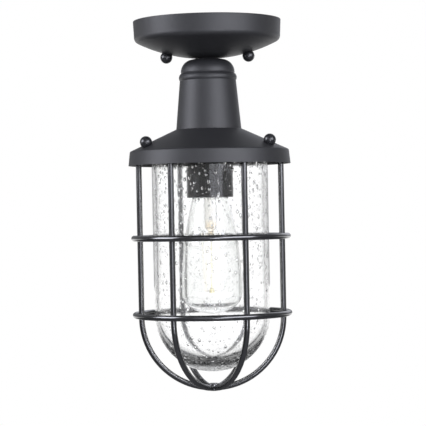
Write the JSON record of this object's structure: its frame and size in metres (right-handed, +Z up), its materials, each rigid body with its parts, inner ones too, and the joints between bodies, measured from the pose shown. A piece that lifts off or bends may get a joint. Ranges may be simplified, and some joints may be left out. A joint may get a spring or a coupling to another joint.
{
  "type": "outdoor ceiling light",
  "caption": "Caged outdoor ceiling light: a dished canopy, bell neck and conical roof over a clear seeded glass jar with a screw lamp, in a guard of round wire held by ball nuts.",
  "frame": {"origin": "middle of the ceiling bracket's upper face, where the light meets the ceiling", "axes": "+Z up into the ceiling, -Y towards the front, +X to the right seen from the front"},
  "size_m": [0.158, 0.158, 0.3607],
  "materials": {
    "powder_coat": "satin charcoal powder coat with a fine grain",
    "zinc_steel": "zinc plated",
    "green_paint": "green ground screw",
    "gasket_rubber": "matt black",
    "porcelain": "glazed",
    "brass": "plain drawn brass",
    "jar_glass": "clear, with seeds and slight waves",
    "lamp_glass": "clear",
    "stem_glass": "clear",
    "lamp_base": "plain drawn",
    "insulator_black": "black glass",
    "solder": "soft solder",
    "support_wire": "drawn wire",
    "filament_glow": "coiled wire, lit"
  },
  "bodies": {
    "fixture": {"ceiling_bracket": "zinc_steel", "ground_screw": "green_paint", "canopy_studs": "zinc_steel", "stud_lock_nuts": "zinc_steel", "canopy": "powder_coat", "canopy_gasket": "gasket_rubber", "nipple": "zinc_steel", "nipple_upper_washer": "zinc_steel", "nipple_upper_nut": "zinc_steel", "nipple_lower_washer": "zinc_steel", "nipple_lower_nut": "zinc_steel", "neck_washer": "gasket_rubber", "neck": "powder_coat", "roof": "powder_coat", "socket_cup": "powder_coat", "socket_strap": "zinc_steel", "socket_body": "porcelain", "socket_screws": "zinc_steel", "socket_shell": "brass", "socket_contact": "brass"},
    "canopy_nut_left": {"canopy_nut_left": "powder_coat"},
    "canopy_nut_right": {"canopy_nut_right": "powder_coat"},
    "guard_nut_left": {"guard_nut_left": "powder_coat"},
    "guard_nut_right": {"guard_nut_right": "powder_coat"},
    "guard_nut_rear": {"guard_nut_rear": "powder_coat"},
    "guard": {"guard_top_plate": "powder_coat", "guard_studs": "zinc_steel", "guard_ring_upper": "powder_coat", "guard_ring_lower": "powder_coat", "guard_hub": "powder_coat", "guard_wire_1": "powder_coat", "guard_wire_2": "powder_coat", "guard_wire_3": "powder_coat", "guard_wire_4": "powder_coat", "guard_wire_5": "powder_coat", "guard_wire_6": "powder_coat", "glass_jar": "jar_glass", "glass_gasket": "gasket_rubber"},
    "lamp": {"bulb_glass": "lamp_glass", "bulb_base": "lamp_base", "bulb_insulator": "insulator_black", "bulb_contact": "solder", "bulb_stem": "stem_glass", "bulb_support_wires": "support_wire", "bulb_filament": "filament_glow"}
  },
  "joints": [
    {"name": "canopy_nut_left_turn", "type": "hinge", "parent": "fixture", "child": "canopy_nut_left", "pos_m": [-0.0401, 0, -0.03507], "axis": [0, 0, -1], "range_deg": [0, 3030]},
    {"name": "canopy_nut_right_turn", "type": "hinge", "parent": "fixture", "child": "canopy_nut_right", "pos_m": [0.0401, 0, -0.03507], "axis": [0, 0, -1], "range_deg": [0, 3030]},
    {"name": "guard_nut_left_turn", "type": "hinge", "parent": "fixture", "child": "guard_nut_left", "pos_m": [-0.05924, -0.0342, -0.11866], "axis": [0, 0, 1], "range_deg": [0, 3030]},
    {"name": "guard_nut_right_turn", "type": "hinge", "parent": "fixture", "child": "guard_nut_right", "pos_m": [0.05924, -0.0342, -0.11866], "axis": [0, 0, 1], "range_deg": [0, 3030]},
    {"name": "guard_nut_rear_turn", "type": "hinge", "parent": "fixture", "child": "guard_nut_rear", "pos_m": [0, 0.0684, -0.11866], "axis": [0, 0, 1], "range_deg": [0, 3030]},
    {"name": "guard_drop", "type": "slide", "parent": "fixture", "child": "guard", "axis": [0, 0, -1], "range_m": [0, 0.18]},
    {"name": "lamp_turn", "type": "hinge", "parent": "fixture", "child": "lamp", "pos_m": [0, 0, -0.16425], "axis": [0, 0, -1], "range_deg": [0, 1350]}
  ]
}
